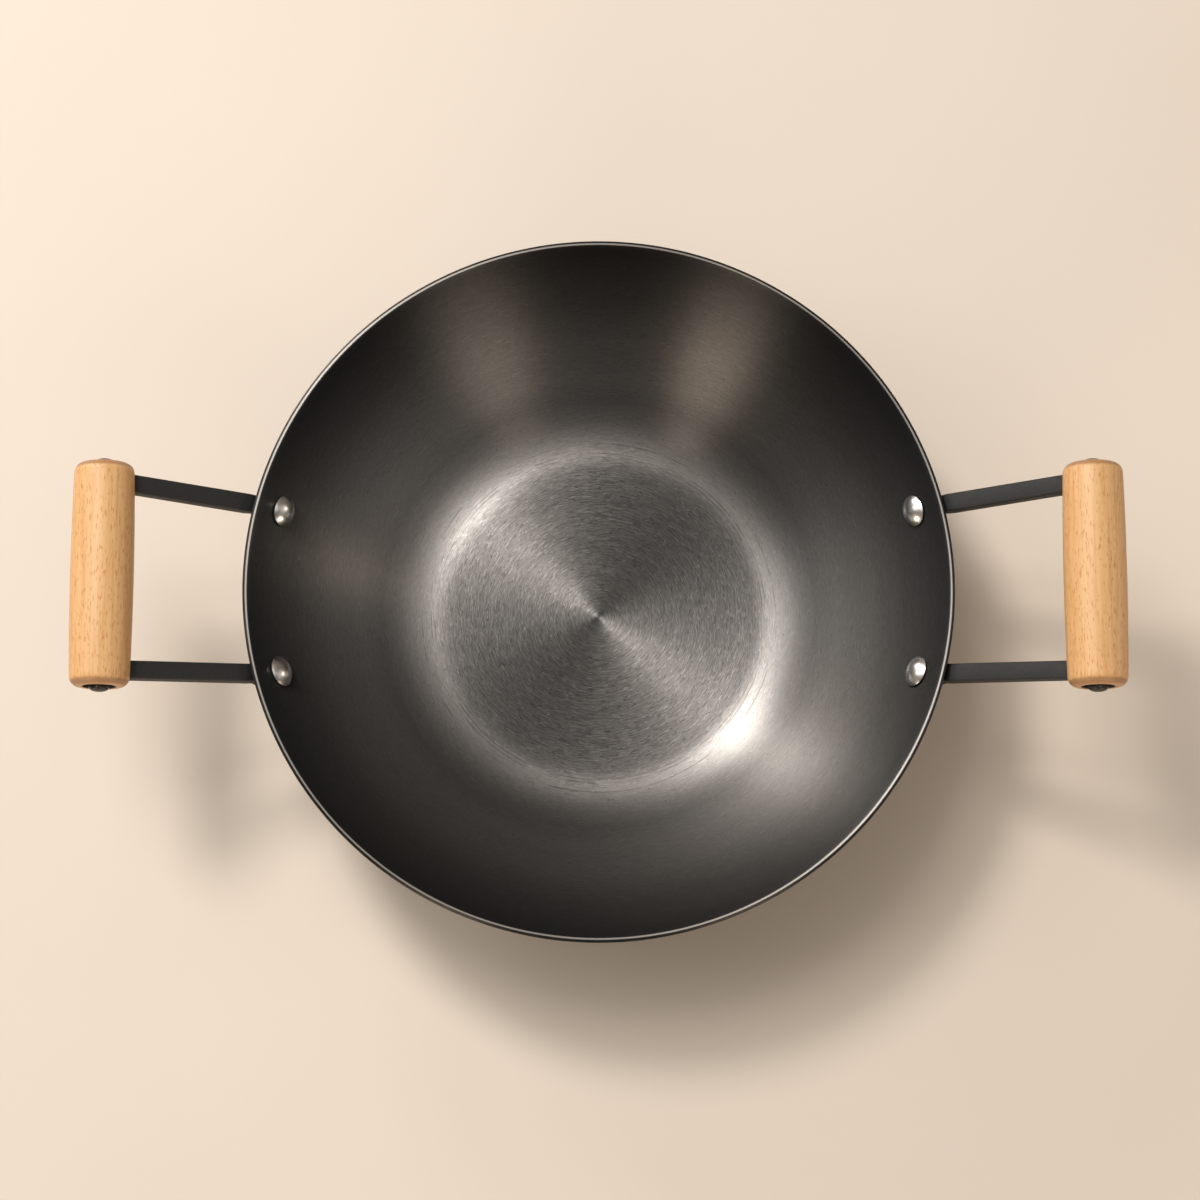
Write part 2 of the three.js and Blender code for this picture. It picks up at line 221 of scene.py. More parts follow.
def remap(tree, value, reach, result=RISING):
    """Stretches a value from one range to another and clamps it, with soft ends."""
    inputs = {0: value, 1: reach[0], 2: reach[1], 3: result[0], 4: result[1]}
    return add(tree, "MapRange", inputs, interpolation_type="SMOOTHSTEP")


def mix_colour(tree, share, first, second, blend="MIX"):
    """A Mix node for colours."""
    inputs = {"Factor": share, 6: first, 7: second}
    return add(tree, "Mix", inputs, output=2, data_type="RGBA", blend_type=blend)


def noise(tree, place, scale, detail):
    """Noise that is the same in all directions. Most of its values lie in NOISE_REACH."""
    return add(tree, "TexNoise", {"Vector": place, "Scale": scale, "Detail": detail})


def bump(tree, height, strength, depth, under=None):
    """Turns a height into relief, on top of another relief where one is given."""
    inputs = {"Height": height, "Strength": strength, "Distance": depth}
    if under is not None:
        inputs["Normal"] = under
    return add(tree, "Bump", inputs)


print("noise is read from", NOISE_REACH[0], "to", NOISE_REACH[1])

# %% [markdown]
# ## The floor's finish
# The floor shows the smallest such network: one broad noise mixes two near creams.

# %% Finish the floor
FLOOR_COLOUR = (0.725, 0.652, 0.578, 1)
WORN_COLOUR = (0.696, 0.617, 0.536, 1)
FLOOR_ROUGHNESS = 0.6
MOTTLE_SCALE = 6.0
MOTTLE_DETAIL = 3.0

finish, tree, shader, place = start_finish("pale_floor")
mottle = noise(tree, place, MOTTLE_SCALE, MOTTLE_DETAIL)
creams = mix_colour(tree, mottle, FLOOR_COLOUR, WORN_COLOUR)
join(tree, shader, {"Base Color": creams, "Roughness": FLOOR_ROUGHNESS})
floor_mesh.materials.append(finish)
print("floor finish:", len(tree.nodes), "nodes")

# %% [markdown]
# ## From bmesh to a piece
# When a shape is done, its doubled points are welded and its faces turned outwards. It becomes an object at
# the origin that rides on the wok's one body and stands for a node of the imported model.
# Soft shading with sharp edges kept by angle shows turned metal as round and a bar's corners as crisp.

# %% Helper for pieces
WELD = 0.002 * mm
CRISP = math.radians(38)


def place_piece(bm, name, node, finish):
    """Turns a finished bmesh into an object that replaces one node."""
    bmesh.ops.remove_doubles(bm, verts=bm.verts[:], dist=WELD)
    bmesh.ops.recalc_face_normals(bm, faces=bm.faces[:])
    mesh = bpy.data.meshes.new(name)
    bm.to_mesh(mesh)
    bm.free()
    mesh.shade_smooth()
    mesh.set_sharp_from_angle(angle=CRISP)
    mesh.materials.append(finish)
    piece = bpy.data.objects.new(name, mesh)
    scene.collection.objects.link(piece)
    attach(piece, "root")
    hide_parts(node)
    return piece


print("edges stay crisp from", round(math.degrees(CRISP)), "degrees")

# %% [markdown]
# ## Turning on a lathe
# The bowl, rivets, grips and washers are all round about an axis, so each is drawn as a chain of points,
# one half of its section, and spun once round. A chain grows from its tip: `line_on` adds a straight run,
# and `arc_on` spins the tip itself about a centre, which gives a true arc without listing its points.

# %% Helpers for chains
TURN_AXIS = (0, -1, 0)
NO_SLIDE = (0, 0, 0)


def line_on(bm, tip, x, z):
    """Carries a chain straight on to a radius and height."""
    tip = bmesh.ops.extrude_vert_indiv(bm, verts=[tip])["verts"][0]
    tip.co = (x, 0, z)
    return tip


def arc_on(bm, tip, centre, angle, steps):
    """Carries a chain on through an arc about a centre. A positive angle climbs away from the axis."""
    spun = bmesh.ops.spin(
        bm, geom=[tip], cent=centre, axis=TURN_AXIS, dvec=NO_SLIDE,
        angle=angle, steps=steps, use_merge=False,
    )
    return next(v for v in spun["geom_last"] if isinstance(v, bmesh.types.BMVert))


def spin_round(bm, steps):
    """Spins a whole chain once about the Z axis."""
    bmesh.ops.spin(
        bm, geom=bm.verts[:] + bm.edges[:], cent=(0, 0, 0), axis=(0, 0, 1), dvec=NO_SLIDE,
        angle=2 * math.pi, steps=steps, use_merge=True,
    )
    bmesh.ops.remove_doubles(bm, verts=bm.verts[:], dist=WELD)


print("arcs turn about", TURN_AXIS)

# %% [markdown]
# ## The wall of the bowl
# The bowl is one shell of iron, 3 mm thick. From the flat base it turns up through a fillet and then
# climbs in one long, slow arc to the rim. Both arcs share their tangent where they meet, so the slope there
# is the one unknown: an arc's chord lies halfway between the slopes at its two ends, and halving finds it.

# %% Find the wall's two arcs
WALL = 3 * mm
RIM_RADIUS = 160 * mm
BASE_RADIUS = 74 * mm
FILLET_RADIUS = 32 * mm
RIM_SLOPE = math.radians(62)
HALVINGS = 40

rim_centre = Vector((RIM_RADIUS - WALL / 2, 0, RIM_HEIGHT - WALL / 2))
fillet_centre = Vector((BASE_RADIUS, 0, WALL + FILLET_RADIUS))


def down_the_slope(slope):
    """The direction square to the wall, outwards and down, where the wall has a slope."""
    return Vector((math.sin(slope), 0, -math.cos(slope)))


flattest, steepest = 0.0, math.pi / 2
for _ in range(HALVINGS):
    wall_slope = (flattest + steepest) / 2
    wall_start = fillet_centre + down_the_slope(wall_slope) * (FILLET_RADIUS + WALL / 2)
    chord = rim_centre - wall_start
    if math.atan2(chord.z, chord.x) > (wall_slope + RIM_SLOPE) / 2:
        flattest = wall_slope
    else:
        steepest = wall_slope
wall_turn = RIM_SLOPE - wall_slope
wall_radius = chord.length / (2 * math.sin(wall_turn / 2))
wall_centre = wall_start - down_the_slope(wall_slope) * wall_radius
print(f"the fillet ends at {math.degrees(wall_slope):.1f} degrees, the wall's arc is {wall_radius:.3f} m")

# %% [markdown]
# ## Turning the bowl
# The chain starts at the middle of the floor, runs out over the flat, up the inside, round the lip and back
# down the outside to the middle of the underside. Extra points on the flat keep the faces there small and
# even. Many steps round keep the rim a clean circle.

# %% Spin the bowl
BOWL_STEPS = 256
FLAT_CUTS = 9
FILLET_STEPS = 12
WALL_STEPS = 24
LIP_STEPS = 12

bowl_bm = bmesh.new()
tip = line_on(bowl_bm, bowl_bm.verts.new((0, 0, WALL)), BASE_RADIUS, WALL)
tip = arc_on(bowl_bm, tip, fillet_centre, wall_slope, FILLET_STEPS)
tip = arc_on(bowl_bm, tip, wall_centre, wall_turn, WALL_STEPS)
tip = arc_on(bowl_bm, tip, rim_centre, -math.pi, LIP_STEPS)
tip = arc_on(bowl_bm, tip, wall_centre, -wall_turn, WALL_STEPS)
tip = arc_on(bowl_bm, tip, fillet_centre, -wall_slope, FILLET_STEPS)
line_on(bowl_bm, tip, 0, 0)
flats = [e for e in bowl_bm.edges if e.calc_length() > BASE_RADIUS / 2]
bmesh.ops.subdivide_edges(bowl_bm, edges=flats, cuts=FLAT_CUTS)
spin_round(bowl_bm, BOWL_STEPS)
print("bowl:", len(bowl_bm.faces), "faces")

# %% [markdown]
# ## Brushed iron: the place of a point
# A pattern on a turned bowl hangs on how far a point lies from the axis, how high it is and which way its
# face looks. `section` runs on along the wall as it climbs, and `inside` tells the inner face from the
# outer one by its normal.

# %% Iron: where a point lies on the bowl
CLIMB_SHARE = 0.8
INSIDE_FACING = (-0.35, 0.05)

iron, tree, shader, place = start_finish("brushed_iron")
x, y, z = add(tree, "SeparateXYZ", {0: place}).node.outputs
level = add(tree, "CombineXYZ", {"X": x, "Y": y})
radius = add(tree, "VectorMath", {0: level}, output="Value", operation="LENGTH")
outward = add(tree, "VectorMath", {0: level}, operation="NORMALIZE")
section = calc(tree, "ADD", radius, calc(tree, "MULTIPLY", z, CLIMB_SHARE))
normal = add(tree, "NewGeometry", {}, output="Normal")
facing = add(tree, "SeparateXYZ", {0: normal}, output="Z")
inside = remap(tree, facing, INSIDE_FACING)
print("iron:", len(tree.nodes), "nodes tell the place on the bowl")

# %% [markdown]
# ## Brushed iron: the marks
# Inside, the iron was brushed while it turned, so its marks are fine arcs about the axis.
# They start as noise that is read closely along the section and only slowly round the axis. Where the noise
# passes its middle, a painted highlight and a painted shade lie side by side, the lit and shaded sides of a
# groove.
# A coarse and a fine set are added up, and the dark lines are kept weaker than the bright ones.
# Broad bands and a few pits break the evenness.

# %% Iron: marks of the brush
COARSE_LINES = (1650, 125)
FINE_LINES = (2700, 175)
BAND_LINES = (120, 12)
BAND_DETAIL = 2.0
BRUSH_ROUGHNESS = 0.6
NOISE_MIDDLE = 0.5
GROOVE = 0.13
COARSE_SHARE = 0.5
DARK_SHARE = 0.55
PIT_SCALE = 900.0
PIT_REACH = (0.76, 0.82)
NO_DETAIL = 0.0


def brush_noise(lines_per_metre, arcs_per_metre, detail):
    """Noise drawn out round the axis: fine across the marks, slow along them."""
    across = calc(tree, "MULTIPLY", section, lines_per_metre)
    ring = add(tree, "VectorMath", {0: level, "Scale": arcs_per_metre}, operation="SCALE")
    where = add(tree, "VectorMath", {0: ring, 1: add(tree, "CombineXYZ", {"Z": across})})
    inputs = {"Vector": where, "Scale": 1.0, "Detail": detail, "Roughness": BRUSH_ROUGHNESS}
    return add(tree, "TexNoise", inputs)


def paired_lines(lines_per_metre, arcs_per_metre):
    """A bright and a dark line side by side where such noise passes its middle, a painted highlight and
    shade in the colour.
    """
    pattern = brush_noise(lines_per_metre, arcs_per_metre, NO_DETAIL)
    start = NOISE_MIDDLE - GROOVE
    end = NOISE_MIDDLE + GROOVE
    wave = add(tree, "MapRange", {0: pattern, 1: start, 2: end, 3: -math.pi, 4: math.pi})
    return calc(tree, "SINE", wave)


coarse_lines = paired_lines(*COARSE_LINES)
fine_lines = paired_lines(*FINE_LINES)
both = calc(tree, "MULTIPLY_ADD", coarse_lines, COARSE_SHARE, fine_lines)
marks = calc(tree, "MAXIMUM", both, calc(tree, "MULTIPLY", both, DARK_SHARE))
broad_bands = brush_noise(*BAND_LINES, BAND_DETAIL)
pits = remap(tree, noise(tree, place, PIT_SCALE, NO_DETAIL), PIT_REACH)
print("iron: coarse and fine lines, broad bands and pits")

# %% [markdown]
# ## Brushed iron: tone and tint
# The scrubbed base is mid grey, the turn up into the wall is the palest as a painted highlight ring, and
# the wall darkens to the rim, partly as painted shade. A ramp holds that, with a radius in millimetres and
# a tone for each stop.
# The wall gets oil and heat, which tint it browner than the base, in soft patches.

# %% Iron: tone along the section
# The high tones from about 75 to 92 mm paint the fillet's highlight ring; the falling tones up the wall are
# partly painted shade.
TONES_AND_PAINTED_LIGHT = (
    (0, 0.114), (40, 0.108), (60, 0.114), (66, 0.124), (69, 0.136), (71.5, 0.153), (73.5, 0.176),
    (75.5, 0.212), (77.5, 0.246), (79.5, 0.272), (81.5, 0.278), (84, 0.266), (88, 0.244), (92.5, 0.215),
    (96, 0.175), (102, 0.134), (112, 0.146), (125, 0.124), (140, 0.073), (155, 0.041),
)


def grey_ramp(tree, value, stops):
    """A colour ramp of greys, with a stop for each position and tone."""
    node = tree.nodes.new("ShaderNodeValToRGB")
    join(tree, node, {"Fac": value})
    elements = node.color_ramp.elements
    for position, _ in stops[1:-1]:
        elements.new(position)
    for element, (position, tone) in zip(elements, stops):
        element.position = position
        element.color = (tone, tone, tone, 1)
    return node.outputs["Color"]


share_of_rim = calc(tree, "DIVIDE", radius, RIM_RADIUS)
tone = grey_ramp(tree, share_of_rim, [(r * mm / RIM_RADIUS, v) for r, v in TONES_AND_PAINTED_LIGHT])
print("iron:", len(TONES_AND_PAINTED_LIGHT), "tones from the middle to the rim")

# %% Iron: tint
BARE_TINT = (0.985, 0.945, 0.925, 1)
OIL_TINT = (1.0, 0.97, 0.95, 1)
HEAT_TINT = (1.0, 0.945, 0.905, 1)
PATCH_SCALE = 9.0
PATCH_DETAIL = 2.0
PATCH_REACH = (0.45, 0.7)
WALL_REACH = (84 * mm, 115 * mm)

patches = noise(tree, place, PATCH_SCALE, PATCH_DETAIL)
oiled = mix_colour(tree, remap(tree, patches, PATCH_REACH), OIL_TINT, HEAT_TINT)
tint = mix_colour(tree, remap(tree, radius, WALL_REACH), BARE_TINT, oiled)
colour = mix_colour(tree, 1.0, tone, tint, "MULTIPLY")
print("iron: tinted from", round(WALL_REACH[0] / mm), "mm outwards")

# %% [markdown]
# ## Brushed iron: marks, scores and lip
# The marks' painted highlights and shades lighten and darken the metal, strongly on the flat base and
# faintly up the wall. Three scores, thin broken lines that a tool left round the base, are darker, and so
# are the pits.
# The outside is left dark. A thin painted highlight lies along the inner side of the lip's top.

# %% Iron: marks and scores in the colour
CONTRAST_REACH = (64 * mm, 86 * mm)
CONTRAST = (0.56, 0.22)
BAND_TONE = (0.985, 1.015)
SCORES = (77.5 * mm, 79.2 * mm, 83.6 * mm)
SCORE_REACH = (0.05 * mm, 0.3 * mm)
SCORE_LINES = (60, 70)
SCORE_DETAIL = 1.0
BREAK_REACH = (0.42, 0.58)
SCORE_TONE = (0.65, 1.0)
PIT = (0.03, 0.027, 0.024, 1)
PIT_SHARE = 0.3

contrast = remap(tree, radius, CONTRAST_REACH, CONTRAST)
# In the colour, the marks' bright and dark lines are a painted highlight and a painted shade for each
# groove.
painted_groove_light = calc(tree, "MULTIPLY_ADD", marks, contrast, 1.0)
band_tone = remap(tree, broad_bands, NOISE_REACH, BAND_TONE)
wear_and_painted_light = calc(tree, "MULTIPLY", painted_groove_light, band_tone)
broken = remap(tree, brush_noise(*SCORE_LINES, SCORE_DETAIL), BREAK_REACH, SCORE_TONE)
for score in SCORES:
    off_line = calc(tree, "ABSOLUTE", calc(tree, "SUBTRACT", radius, score))
    beside = remap(tree, off_line, SCORE_REACH)
    wear_and_painted_light = calc(tree, "MULTIPLY", wear_and_painted_light, calc(tree, "MAXIMUM", broken, beside))
colour = add(tree, "VectorMath", {0: colour, "Scale": wear_and_painted_light}, operation="SCALE")
colour = mix_colour(tree, calc(tree, "MULTIPLY", pits, PIT_SHARE), colour, PIT)
print("iron:", len(SCORES), "scores")

# %% Iron: outside and lip
OUTSIDE = (0.045, 0.042, 0.039, 1)
LIP_HIGHLIGHT = (0.46, 0.44, 0.42, 1)
LIP_HEIGHT = (87.85 * mm, 87.97 * mm)
LIP_LEAN = (0.0, 0.30)

colour = mix_colour(tree, inside, OUTSIDE, colour)
# A painted highlight: the lip's top is made light along its inner side.
lip_top = remap(tree, z, LIP_HEIGHT)
leaning = add(tree, "VectorMath", {0: normal, 1: outward}, output="Value", operation="DOT_PRODUCT")
painted_highlight = calc(tree, "MULTIPLY", lip_top, remap(tree, leaning, LIP_LEAN, FALLING))
colour = mix_colour(tree, painted_highlight, colour, LIP_HIGHLIGHT)
print("iron: lip rubbed from", round(LIP_HEIGHT[0] / mm, 2), "mm up")

# %% [markdown]
# ## Brushed iron: roughness and relief
# Brushed metal scatters light mostly across its marks. The shader's anisotropy does that, with its tangent
# pointing straight out from the axis, and each light then shows as a bow tie over the flat base.
# A bright line is also a little smoother than a dark one. The relief has two layers: a shallow step round
# the flat base, which catches the light as a crescent on both sides, and the fine height of the marks.

# %% Iron: roughness and relief
IRON_ROUGHNESS = 0.42
GLOSS_REACH = (78 * mm, 100 * mm)
MARK_GLOSS = (-0.03, -0.008)
LIP_ROUGHNESS = 0.60
STEP_REACH = (69 * mm, 80.5 * mm)
STEP_STRENGTH = 1.0
STEP_HEIGHT = 0.95 * mm
DEPTH_REACH = (78 * mm, 95 * mm)
MARK_DEPTH = (0.5, 0.08)
MARK_STRENGTH = 0.5
MARK_HEIGHT = 0.05 * mm
ANISOTROPY = 0.9

mark_gloss = remap(tree, radius, GLOSS_REACH, MARK_GLOSS)
roughness = calc(tree, "MULTIPLY_ADD", marks, mark_gloss, IRON_ROUGHNESS)
roughness = add(tree, "Mix", {"Factor": painted_highlight, 2: roughness, 3: LIP_ROUGHNESS})
step = bump(tree, remap(tree, radius, STEP_REACH, FALLING), STEP_STRENGTH, STEP_HEIGHT)
depth = calc(tree, "MULTIPLY", marks, remap(tree, radius, DEPTH_REACH, MARK_DEPTH))
relief = bump(tree, depth, MARK_STRENGTH, MARK_HEIGHT, step)
join(tree, shader, {
    "Base Color": colour, "Metallic": 1.0, "Roughness": roughness, "Normal": relief,
    "Anisotropic": ANISOTROPY, "Tangent": outward,
})
place_piece(bowl_bm, "bowl_turned", "bowl", iron)
print("iron:", len(tree.nodes), "nodes on the bowl")

# %% [markdown]
# ## The four ends
# Each handle has two ends, and each end has an arm, a rivet, a washer and a nut. One end is worked out at
# +X and +Y, where the rivet goes square through the wall 16 mm below the rim, and the other three are its
# mirror images. Mirroring turns a mesh inside out, which place_piece puts right.

# %% Find the rivet's seat
RIVET_DROP = 16 * mm
RIVET_SPACING = 75 * mm
FIT = 0.3 * mm

seat_height = RIM_HEIGHT - RIVET_DROP
seat_slope = math.acos((wall_centre.z - seat_height) / wall_radius)
seat_radius = wall_centre.x + wall_radius * math.sin(seat_slope)
seat_turn = math.asin(RIVET_SPACING / 2 / seat_radius)
to_seat = Matrix.Rotation(seat_turn, 3, "Z")
seat = to_seat @ Vector((seat_radius, 0, seat_height))
seat_normal = to_seat @ down_the_slope(seat_slope)
seat_climb = Vector((-seat_normal.z, 0, seat_normal.x)).normalized()
seat_across = seat_climb.cross(seat_normal)
print("rivet seat", [round(v, 4) for v in seat], f"on a slope of {math.degrees(seat_slope):.1f} degrees")

# %% Helpers for the ends
ENDS = {
    "right_rear": (1, 1, 1), "right_front": (1, -1, 1),
    "left_rear": (-1, 1, 1), "left_front": (-1, -1, 1),
}


def frame_at(centre, across, along, normal):
    """The matrix that takes X, Y and Z to three directions at a point."""
    turn = Matrix((across, along, normal)).transposed()
    return Matrix.Translation(centre) @ turn.to_4x4()


def mirrored(bm, end):
    """A copy of a shape made at +X and +Y, mirrored to one of the four ends."""
    copy = bm.copy()
    bmesh.ops.scale(copy, vec=ENDS[end], verts=copy.verts[:])
    return copy


def place_at_ends(bm, node, form, finish):
    """Places a shape and its mirror images as the pieces for one node at each end."""
    for end in ENDS:
        place_piece(mirrored(bm, end), f"{end}_{node}_{form}", f"{end}_{node}", finish)
    bm.free()


print("ends:", list(ENDS))

# %% [markdown]
# ## Rivets
# A solid rivet joins each arm to the wall. Its low dome shows inside the bowl, and its tail was hammered
# into a smaller dome outside. The section is an arc of a ball, an edge that draws in to the flat
# underside, the shank, and a squashed quarter circle. The drawn-in edge leaves a thin dark line against
# the wall.

# %% Turn a rivet
RIVET_HEAD = 14 * mm
RIVET_DOME = 4.2 * mm
RIVET_SHANK = 6 * mm
RIVET_TAIL = 11 * mm
RIVET_TAIL_DOME = 2.4 * mm
RIVET_EDGE = 0.9 * mm
RIVET_UNDERCUT = 0.7 * mm
HEAD_STANDOFF = 0.72 * mm
FOOT_THICKNESS = 4 * mm
RIVET_STEPS = 48
DOME_STEPS = 12
EDGE_STEPS = 4

head_seat = WALL / 2 + HEAD_STANDOFF
widest = head_seat + RIVET_EDGE
head_flat = RIVET_HEAD / 2 - RIVET_UNDERCUT
tail_seat = WALL / 2 + FIT + FOOT_THICKNESS + FIT
rise = RIVET_DOME - RIVET_EDGE
ball = ((RIVET_HEAD / 2) ** 2 + rise ** 2) / (2 * rise)
ball_turn = math.asin(RIVET_HEAD / 2 / ball)

rivet_bm = bmesh.new()
crown = rivet_bm.verts.new((0, 0, widest + rise))
tip = arc_on(rivet_bm, crown, (0, 0, widest + rise - ball), -ball_turn, DOME_STEPS)
tip = arc_on(rivet_bm, tip, (head_flat, 0, widest), -math.pi / 2, EDGE_STEPS)
tip = line_on(rivet_bm, tip, head_flat, head_seat)
tip = line_on(rivet_bm, tip, RIVET_SHANK / 2, head_seat)
tip = line_on(rivet_bm, tip, RIVET_SHANK / 2, -tail_seat)
tip = line_on(rivet_bm, tip, RIVET_TAIL / 2, -tail_seat)
before_tail = set(rivet_bm.verts) - {tip}
arc_on(rivet_bm, tip, (0, 0, -tail_seat), -math.pi / 2, DOME_STEPS)
tail = [v for v in rivet_bm.verts if v not in before_tail]
squash = (1, 1, RIVET_TAIL_DOME / (RIVET_TAIL / 2))
bmesh.ops.scale(rivet_bm, vec=squash, space=Matrix.Translation((0, 0, tail_seat)), verts=tail)
spin_round(rivet_bm, RIVET_STEPS)
on_the_wall = frame_at(seat, seat_across, seat_climb, -seat_normal)
bmesh.ops.transform(rivet_bm, matrix=on_the_wall, verts=rivet_bm.verts[:])
print("rivet:", len(rivet_bm.faces), "faces")

# %% [markdown]
# ## Polished stainless
# The rivets are polished stainless steel, so each head mirrors the room on its upper side and the dark bowl
# on its lower one. A fine haze varies its colour, roughness and relief.

# %% Polished stainless
STEEL = (0.82, 0.80, 0.78, 1)
BRIGHT_STEEL = (0.93, 0.91, 0.89, 1)
HAZE_SCALE = 260.0
HAZE_DETAIL = 3.0
HAZE_ROUGHNESS = (0.27, 0.34)
HAZE_STRENGTH = 0.08
HAZE_DEPTH = 0.02 * mm

stainless, tree, shader, place = start_finish("polished_stainless")
haze = noise(tree, place, HAZE_SCALE, HAZE_DETAIL)
join(tree, shader, {
    "Base Color": mix_colour(tree, haze, STEEL, BRIGHT_STEEL),
    "Metallic": 1.0,
    "Roughness": remap(tree, haze, NOISE_REACH, HAZE_ROUGHNESS),
    "Normal": bump(tree, haze, HAZE_STRENGTH, HAZE_DEPTH),
})
place_at_ends(rivet_bm, "rivet", "domed", stainless)
print("rivets:", len(ENDS))

# %% [markdown]
# ## Arms
# An arm is a square bar. One end is hammered flat into a round-ended foot that lies on the wall under its
# rivet, then the bar bends out from under the rim and runs straight, rising, to the grip.
# Two directions set it out: up the wall at the rivet, and along the straight run to the grip.

# %% Set out the arm
BAR = 8 * mm
FOOT_WIDTH = 16 * mm
FOOT_NECK = 11.6 * mm
FOOT_MARGIN = 1.5 * mm
BEND_RUN = 4 * mm
ARM_PAST_ROD = 6 * mm
GRIP_REACH = 59 * mm
GRIP_RISE = 26 * mm
GRIP_LENGTH = 100 * mm
ARM_INSET = 7.5 * mm

arm_y = GRIP_LENGTH / 2 - ARM_INSET
eye = Vector((RIM_RADIUS + GRIP_REACH, arm_y, RIM_HEIGHT + GRIP_RISE))
foot_inner = WALL / 2 + FIT
foot = seat + seat_normal * (foot_inner + FOOT_THICKNESS / 2)
bend_start = RIVET_TAIL / 2 + FOOT_MARGIN
corner = seat + seat_normal * (foot_inner + BAR / 2) + seat_climb * (bend_start + BEND_RUN)
run = (eye - corner).normalized()
run_across = Vector((-run.y, run.x, 0)).normalized()
run_normal = run_across.cross(run)
print("arm runs", round((eye - corner).length / mm, 1), "mm from its bend to its eye")

# %% [markdown]
# ## Drawing out the arm
# A smith draws an arm out of one bar, and here one face is carried from station to station in the same way:
# extruded, then moved, turned and stretched to the next section. Each station is a matrix. The stations
# of the foot widen with a half circle, and those in the bend slide along a curve while the bar turns and
# thickens.
# The face starts as a square with eased corners, so the long edges come out eased too.

# %% Mark the stations
BEND_STEPS = 14
TAPER_SHARE = 0.42
FOOT_ROUND_STEPS = 9

foot_turn = Matrix((seat_across, seat_climb, seat_normal)).transposed().to_quaternion()
run_turn = Matrix((run_across, run, run_normal)).transposed().to_quaternion()


def station(centre, turn, width, depth):
    """A matrix that puts a unit square in place as one section of the arm."""
    return Matrix.LocRotScale(centre, turn, Vector((width, 1, depth)))


def soft_step(value):
    """Eases a share from 0 to 1, flat at both ends."""
    share = min(1, max(0, value))
    return share * share * (3 - 2 * share)


stations = []
for i in range(1, FOOT_ROUND_STEPS + 1):
    angle = math.pi / 2 * i / FOOT_ROUND_STEPS
    below = FOOT_MARGIN + FOOT_WIDTH / 2 * math.cos(angle)
    width = FOOT_WIDTH * math.sin(angle)
    stations.append(station(foot - seat_climb * below, foot_turn, width, FOOT_THICKNESS))
bend_from = foot + seat_climb * bend_start
bend_to = corner + run * BEND_RUN
for i in range(BEND_STEPS + 1):
    t = i / BEND_STEPS
    middle = bend_from.lerp(corner, t).lerp(corner.lerp(bend_to, t), t)
    width = FOOT_NECK + (BAR - FOOT_NECK) * soft_step(t / TAPER_SHARE)
    depth = FOOT_THICKNESS + (BAR - FOOT_THICKNESS) * soft_step(t)
    stations.append(station(middle, foot_turn.slerp(run_turn, t), width, depth))
stations.append(station(eye + run * ARM_PAST_ROD, run_turn, BAR, BAR))
print("arm:", len(stations), "stations")

# %% Draw out the arm
UNIT_SQUARE = 1
BAR_EASE = 0.8 * mm
BAR_EASE_STEPS = 3
ROUND_PROFILE = 0.5


def ease_corners(bm, corners, size, steps):
    """Rounds the corners of an outline."""
    bmesh.ops.bevel(
        bm, geom=corners, offset=size, offset_type="OFFSET", segments=steps,
        profile=ROUND_PROFILE, affect="VERTICES", clamp_overlap=True, material=-1,
    )


arm_bm = bmesh.new()
upright = Matrix.Rotation(math.pi / 2, 4, "X")
bmesh.ops.create_grid(arm_bm, x_segments=1, y_segments=1, size=UNIT_SQUARE / 2, matrix=upright)
ease_corners(arm_bm, arm_bm.verts[:], BAR_EASE / BAR, BAR_EASE_STEPS)
bmesh.ops.transform(arm_bm, matrix=stations[0], verts=arm_bm.verts[:])
arm_bm.faces.ensure_lookup_table()
face = arm_bm.faces[0]
for before, after in zip(stations, stations[1:]):
    drawn = bmesh.ops.extrude_face_region(arm_bm, geom=[face])["geom"]
    face = next(g for g in drawn if isinstance(g, bmesh.types.BMFace))
    bmesh.ops.transform(arm_bm, matrix=after @ before.inverted(), verts=face.verts[:])
open_edges = sum(not e.is_manifold for e in arm_bm.edges)
print("arm:", len(arm_bm.faces), "faces,", open_edges, "open edges")

# %% [markdown]
# ## Powder coat
# The arms are coated black. Baked powder flows into a fine orange-peel skin, matt but not dead, with
# slightly greyer grains. Fine noise in the relief and the roughness gives that skin.

# %% Black coat
COAT = (0.011, 0.011, 0.0115, 1)
COAT_GRAIN = (0.022, 0.022, 0.0225, 1)
GRAINS_SCALE = 2200.0
GRAINS_DETAIL = 2.0
GRAINS_REACH = (0.35, 0.7)
PEEL_SCALE = 600.0
PEEL_DETAIL = 1.0
EVEN_SHARE = 0.5
COAT_ROUGHNESS = (0.55, 0.70)
COAT_SPECULAR = 0.42
PEEL_STRENGTH = 0.5
PEEL_DEPTH = 0.06 * mm

black_coat, tree, shader, place = start_finish("black_powder_coat")
grains = noise(tree, place, GRAINS_SCALE, GRAINS_DETAIL)
peel = noise(tree, place, PEEL_SCALE, PEEL_DETAIL)
half_grains = calc(tree, "MULTIPLY", grains, EVEN_SHARE)
half_peel = calc(tree, "MULTIPLY", peel, EVEN_SHARE)
skin = calc(tree, "ADD", half_grains, half_peel)
join(tree, shader, {
    "Base Color": mix_colour(tree, remap(tree, grains, GRAINS_REACH), COAT, COAT_GRAIN),
    "Roughness": remap(tree, skin, NOISE_REACH, COAT_ROUGHNESS),
    "Specular IOR Level": COAT_SPECULAR,
    "Normal": bump(tree, skin, PEEL_STRENGTH, PEEL_DEPTH),
})
place_at_ends(arm_bm, "arm", "forged", black_coat)
print("arms:", len(ENDS))

